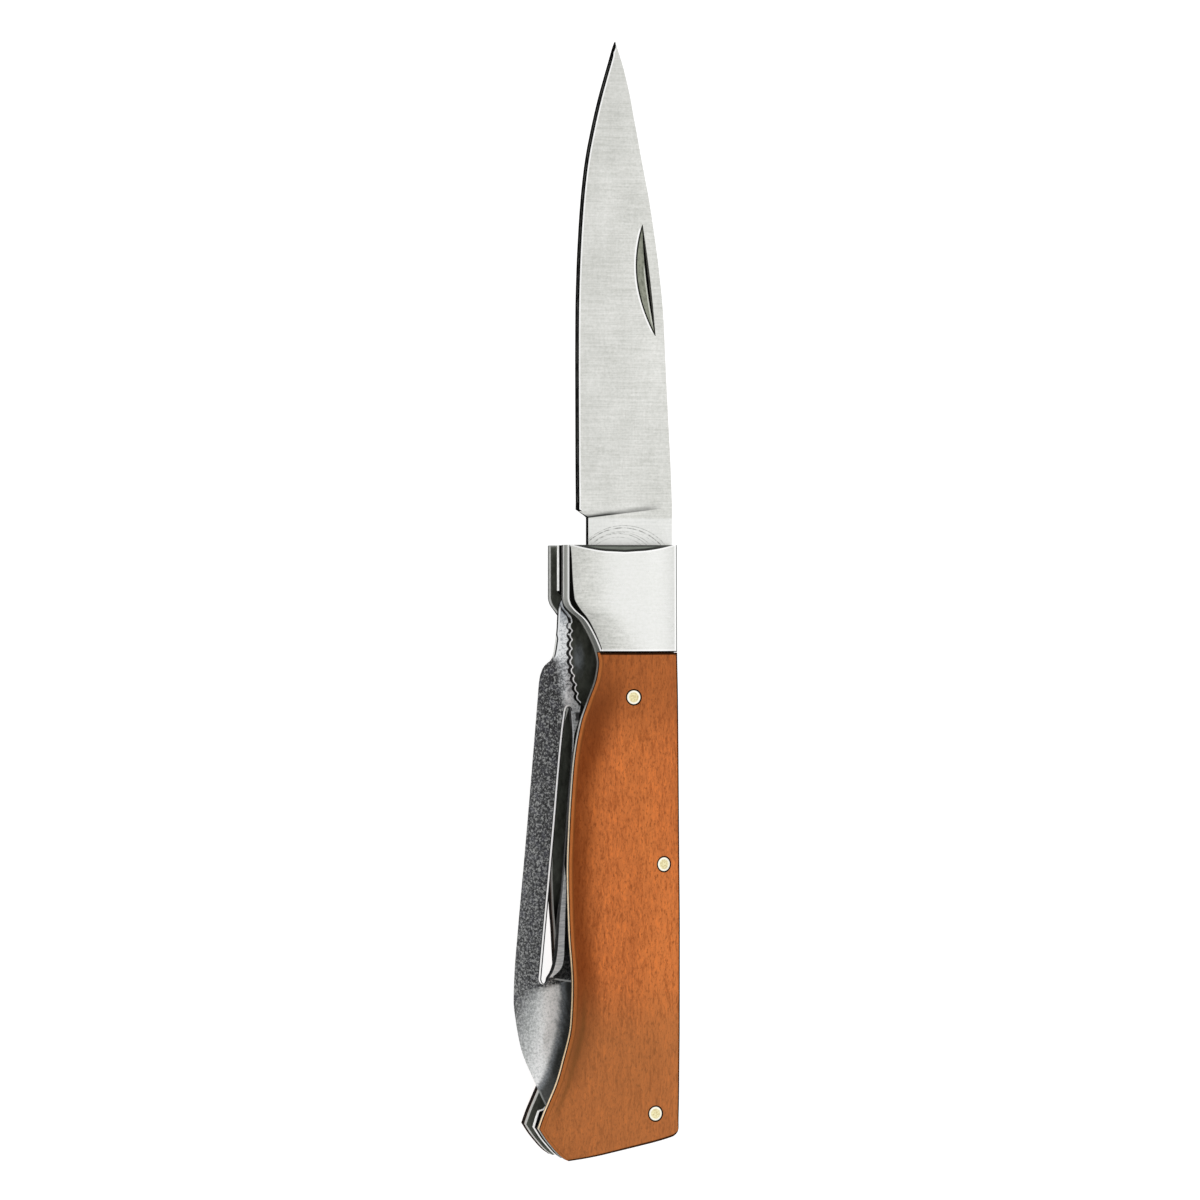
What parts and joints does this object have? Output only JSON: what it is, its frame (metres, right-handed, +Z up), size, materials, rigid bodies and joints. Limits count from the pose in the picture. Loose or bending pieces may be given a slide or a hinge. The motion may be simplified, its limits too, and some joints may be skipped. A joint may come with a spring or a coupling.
{
  "type": "folding paring knife",
  "caption": "Wooden-handled pocket knife with a paring blade open and a slotted gutter-shaped peeler folded into the same handle.",
  "frame": {"origin": "under the middle of the open knife's bounding box, on the surface that it lies on", "axes": "+Y along the handle towards the paring blade's point, +X towards the handle's back (the spring side), +Z up through the handle's layers"},
  "size_m": [0.0238, 0.1692, 0.0159],
  "materials": {
    "blade_steel": "satin, faintly cross-hatched",
    "peeler_steel": "blasted grey on its rim side, brighter at the tip and the bowl",
    "liner_steel": "ground edges",
    "bolster_steel": "bright satin",
    "cherry_wood": "oiled, fine straight grain along the handle",
    "spring_steel": "ground",
    "pivot_steel": "ground",
    "pin_brass": "filed flush and polished"
  },
  "bodies": {
    "handle": {"near_liner": "liner_steel", "centre_liner": "liner_steel", "far_liner": "liner_steel", "near_bolster": "bolster_steel", "far_bolster": "bolster_steel", "near_scale": "cherry_wood", "far_scale": "cherry_wood", "blade_spring": "spring_steel", "peeler_spring": "spring_steel", "blade_pivot_pin": "pivot_steel", "peeler_pivot_pin": "pin_brass", "spring_pin": "pin_brass", "near_scale_pin": "pin_brass", "far_scale_pin": "pin_brass"},
    "paring_blade": {"main_blade": "blade_steel"},
    "peeler_blade": {"peeler": "peeler_steel"}
  },
  "joints": [
    {"name": "blade_fold", "type": "hinge", "parent": "handle", "child": "paring_blade", "pos_m": [0.00312, 0.00268, 0.01033], "axis": [0, 0, 1], "range_deg": [0, 175], "deforming": ["blade_spring"]},
    {"name": "peeler_fold", "type": "hinge", "parent": "handle", "child": "peeler_blade", "pos_m": [0.00756, -0.0776, 0.0066], "axis": [0, 0, 1], "range_deg": [0, 175], "deforming": ["peeler_spring"]}
  ]
}
